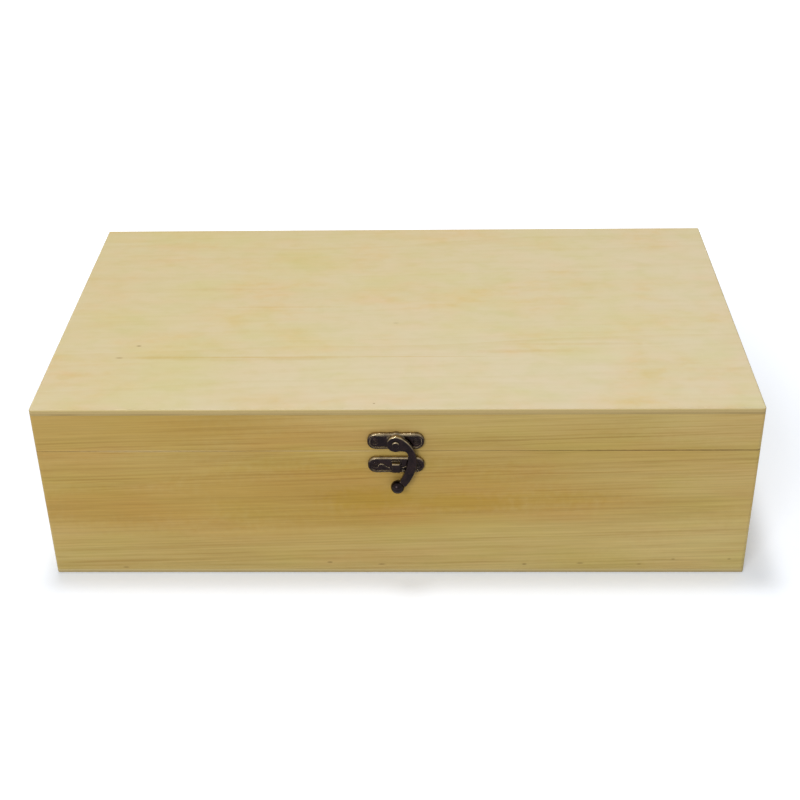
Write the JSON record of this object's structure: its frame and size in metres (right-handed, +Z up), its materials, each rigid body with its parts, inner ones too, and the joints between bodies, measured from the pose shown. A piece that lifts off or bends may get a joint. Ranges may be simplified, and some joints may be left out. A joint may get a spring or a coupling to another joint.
{
  "type": "wooden wine box",
  "caption": "Low pine box with plywood panels, a back-hinged lid, a bronze swing hook on the front and a divider between its bottle bays.",
  "frame": {"origin": "centre of the underside of the closed box", "axes": "+X along the length to the right seen from the front, -Y towards the front with the latch, +Z up"},
  "size_m": [0.35, 0.2106, 0.099],
  "materials": {
    "pine": "sanded pine under a thin clear coat",
    "panel_plywood": "pale sanded plywood, almost matt",
    "divider_board": "sanded plywood, matt",
    "antique_bronze": "dark antique bronze plating, worn to brass on the edges",
    "nail_steel": "bare steel wire"
  },
  "bodies": {
    "base": {"base_floor_panel": "panel_plywood", "base_front_wall": "pine", "base_back_wall": "pine", "base_left_wall": "pine", "base_right_wall": "pine", "base_corner_brads": "nail_steel", "bottle_divider": "divider_board", "catch_plate": "antique_bronze", "catch_plate_screws": "antique_bronze", "left_hinge_base_leaf": "antique_bronze", "left_hinge_pin": "antique_bronze", "left_hinge_base_screws": "antique_bronze", "right_hinge_base_leaf": "antique_bronze", "right_hinge_pin": "antique_bronze", "right_hinge_base_screws": "antique_bronze"},
    "lid": {"lid_top_panel": "panel_plywood", "lid_front_rail": "pine", "lid_back_rail": "pine", "lid_left_rail": "pine", "lid_right_rail": "pine", "lid_corner_brads": "nail_steel", "left_hinge_lid_leaf": "antique_bronze", "left_hinge_lid_screws": "antique_bronze", "right_hinge_lid_leaf": "antique_bronze", "right_hinge_lid_screws": "antique_bronze", "hook_plate": "antique_bronze", "hook_plate_screws": "antique_bronze", "hook_rivet": "antique_bronze"},
    "hook": {"swing_hook": "antique_bronze"}
  },
  "joints": [
    {"name": "lid_hinge", "type": "hinge", "parent": "base", "child": "lid", "pos_m": [0, 0.1018, 0.0755], "axis": [-1, 0, 0], "range_deg": [0, 188]},
    {"name": "hook_swing", "type": "hinge", "parent": "lid", "child": "hook", "pos_m": [0, -0.1, 0.082], "axis": [0, -1, 0], "range_deg": [-7, 289]}
  ]
}
